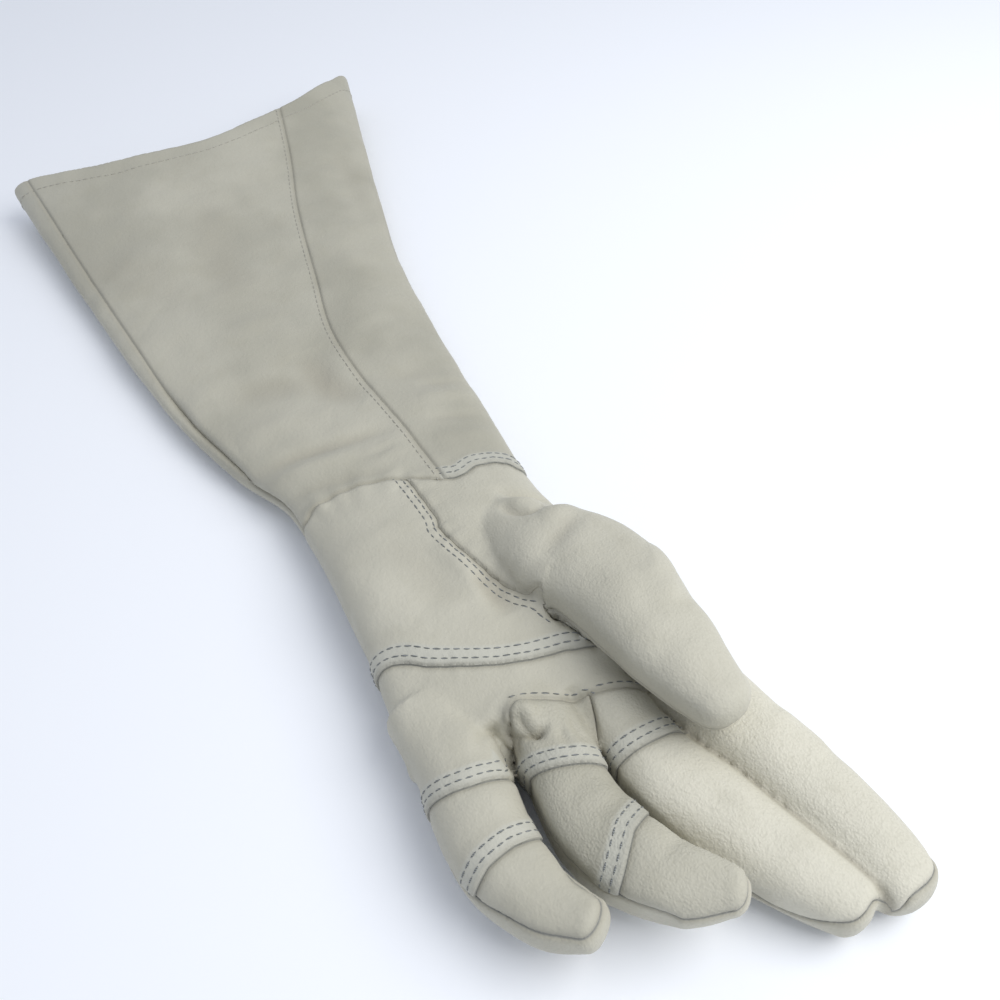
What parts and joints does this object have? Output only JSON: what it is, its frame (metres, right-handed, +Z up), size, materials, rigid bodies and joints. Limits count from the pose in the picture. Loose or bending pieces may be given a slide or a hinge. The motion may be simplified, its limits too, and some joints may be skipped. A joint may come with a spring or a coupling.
{
  "type": "gauntlet glove",
  "caption": "Left-hand leather gauntlet glove lying palm up, with a long flared open cuff, jointed finger patches and a thumb folded over the palm.",
  "frame": {"origin": "on the flat underside of the wrist, where the glove rests", "axes": "+Y from the wrist to the open cuff, +Z up through the palm, +X to the thumb's side"},
  "size_m": [0.187, 0.4849, 0.0442],
  "materials": {
    "leather": "matt",
    "thread": "matt"
  },
  "bodies": {
    "root": {"cuff_palm_panel": "leather", "cuff_thumb_panel": "leather", "cuff_back_panel": "leather", "hand_back": "leather", "palm_panel": "leather", "palm_patch": "leather", "thumb_front": "leather", "thumb_back": "leather", "pinky_mid_patch": "leather", "pinky_tip_patch": "leather", "ring_base_patch": "leather", "ring_mid_patch": "leather", "ring_tip_patch": "leather", "middle_base_patch": "leather", "middle_tip_patch": "leather", "index_front": "leather"}
  },
  "joints": []
}
